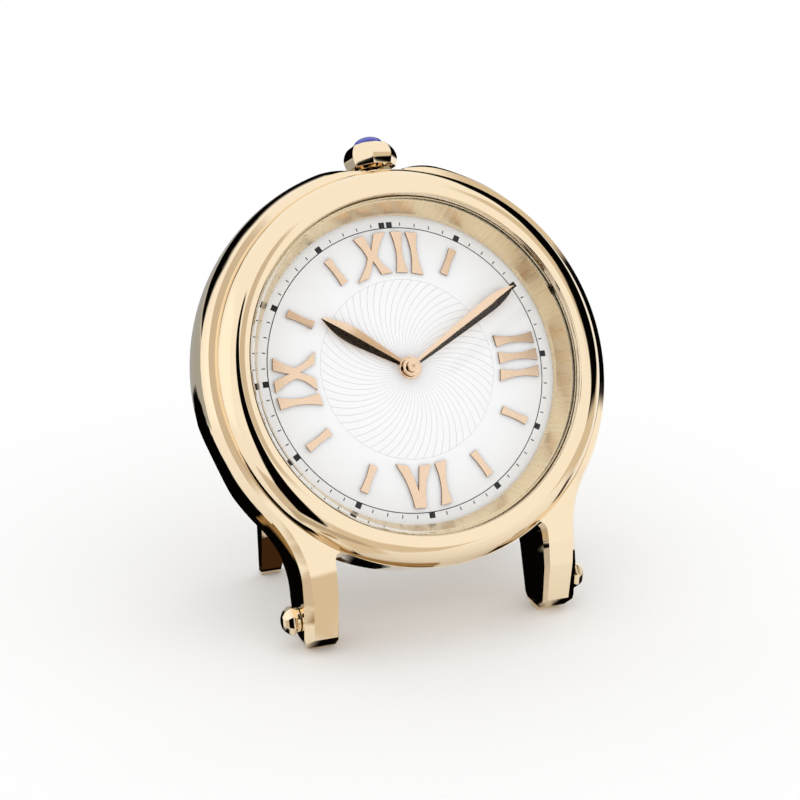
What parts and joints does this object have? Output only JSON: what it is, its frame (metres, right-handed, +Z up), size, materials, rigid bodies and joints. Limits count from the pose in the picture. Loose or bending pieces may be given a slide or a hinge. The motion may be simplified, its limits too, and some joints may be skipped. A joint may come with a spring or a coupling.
{
  "type": "table clock",
  "caption": "Round watch-shaped table clock that leans back on legs and an arched folding stand, with leaf hands, applied numerals and a pull-out crown on top.",
  "frame": {"origin": "middle of the footprint's bounding box on the table: X = 0 is the dial's plane of symmetry, Y = 0 is half way between the foremost and the hindmost point, Z = 0 is the table", "axes": "+Z up, -Y is the side that the dial looks to, +X is to the right as the dial is seen; the dial leans back by 26.66 degrees"},
  "size_m": [0.0824, 0.049, 0.0881],
  "materials": {
    "polished_rose_gold": "mirror-polished rose-gold plate on brass",
    "applied_gold": "polished and faceted, rose-gold plated",
    "dial_white": "white lacquer, satin, with a stamped and printed middle",
    "crystal_glass": "clear, polished, flat",
    "blue_stone": "polished deep blue cabochon",
    "black_rubber": "moulded, matte",
    "movement_brass": "stamped and cut, plain",
    "steel": "turned and ground",
    "holder_plastic": "moulded, matte",
    "board_green": "solder-masked board",
    "coil_copper": "enamelled winding",
    "battery_steel": "nickel-plated can"
  },
  "bodies": {
    "case": {"case_body": "polished_rose_gold", "bezel": "polished_rose_gold", "crystal": "crystal_glass", "crystal_gasket": "black_rubber", "flange_ring": "polished_rose_gold", "dial": "dial_white", "numeral_12_x": "applied_gold", "numeral_12_i_left": "applied_gold", "numeral_12_i_right": "applied_gold", "numeral_3_i_upper": "applied_gold", "numeral_3_i_middle": "applied_gold", "numeral_3_i_lower": "applied_gold", "numeral_6_v": "applied_gold", "numeral_6_i": "applied_gold", "numeral_9_i": "applied_gold", "numeral_9_x": "applied_gold", "baton_01": "applied_gold", "baton_02": "applied_gold", "baton_04": "applied_gold", "baton_05": "applied_gold", "baton_07": "applied_gold", "baton_08": "applied_gold", "baton_10": "applied_gold", "baton_11": "applied_gold", "main_plate": "movement_brass", "train_bridge": "steel", "stator": "steel", "coil": "coil_copper", "battery": "battery_steel", "battery_clip": "steel", "circuit_board": "board_green", "movement_holder": "holder_plastic", "crown_tube": "polished_rose_gold", "leg_cap_left": "polished_rose_gold", "leg_cap_right": "polished_rose_gold", "back_cover": "polished_rose_gold", "back_gasket": "black_rubber", "cover_screw_1": "steel", "cover_screw_2": "steel", "cover_screw_3": "steel", "cover_screw_4": "steel", "hinge_bracket": "polished_rose_gold", "bracket_screw_left": "steel", "bracket_screw_right": "steel", "hinge_pin": "steel"},
    "minute_group": {"centre_wheel": "movement_brass", "minute_hand": "applied_gold", "hand_cap": "applied_gold"},
    "hour_group": {"hour_wheel": "movement_brass", "hour_hand": "applied_gold"},
    "motion_group": {"motion_wheel": "movement_brass"},
    "setting_group": {"setting_wheel": "movement_brass"},
    "intermediate_group": {"intermediate_wheel": "movement_brass"},
    "rotor_group": {"step_rotor": "steel"},
    "pinion_group": {"setting_pinion": "steel"},
    "crown_group": {"crown": "polished_rose_gold", "crown_cabochon": "blue_stone", "setting_stem": "steel"},
    "stand_group": {"back_stand": "polished_rose_gold"}
  },
  "joints": [
    {"name": "minute_turn", "type": "hinge", "parent": "case", "child": "minute_group", "pos_m": [0, -0.0012, 0.0468], "axis": [0, 0.8937, -0.4487], "continuous": true},
    {"name": "hour_turn", "type": "hinge", "parent": "case", "child": "hour_group", "pos_m": [0, -0.0012, 0.0468], "axis": [0, 0.8937, -0.4487], "continuous": true},
    {"name": "motion_turn", "type": "hinge", "parent": "case", "child": "motion_group", "pos_m": [0.00496, 0.00198, 0.05313], "axis": [0, 0.8937, -0.4487], "continuous": true},
    {"name": "setting_turn", "type": "hinge", "parent": "case", "child": "setting_group", "pos_m": [0, 0.00573, 0.0606], "axis": [0, 0.8937, -0.4487], "continuous": true},
    {"name": "intermediate_turn", "type": "hinge", "parent": "case", "child": "intermediate_group", "pos_m": [0.0108, -0.0012, 0.0468], "axis": [0, 0.8937, -0.4487], "continuous": true},
    {"name": "rotor_turn", "type": "hinge", "parent": "case", "child": "rotor_group", "pos_m": [0.0108, -0.00443, 0.04037], "axis": [0, 0.8937, -0.4487], "continuous": true},
    {"name": "crown_turn", "type": "hinge", "parent": "case", "child": "pinion_group", "pos_m": [0, 0.0005, 0.04595], "axis": [0, 0.4487, 0.8937], "continuous": true},
    {"name": "crown_pull", "type": "slide", "parent": "pinion_group", "child": "crown_group", "axis": [0, 0.4487, 0.8937], "range_m": [0, 0.0016]},
    {"name": "stand_fold", "type": "hinge", "parent": "case", "child": "stand_group", "pos_m": [0, 0.01563, 0.05268], "axis": [-1, 0, 0], "range_deg": [0, 29]}
  ],
  "couplings": [
    {"joint": "hour_turn", "follows": "minute_turn", "ratio": 0.083333},
    {"joint": "motion_turn", "follows": "minute_turn", "ratio": -0.33333},
    {"joint": "setting_turn", "follows": "minute_turn", "ratio": 0.66667},
    {"joint": "intermediate_turn", "follows": "minute_turn", "ratio": -5},
    {"joint": "rotor_turn", "follows": "minute_turn", "ratio": 25}
  ]
}
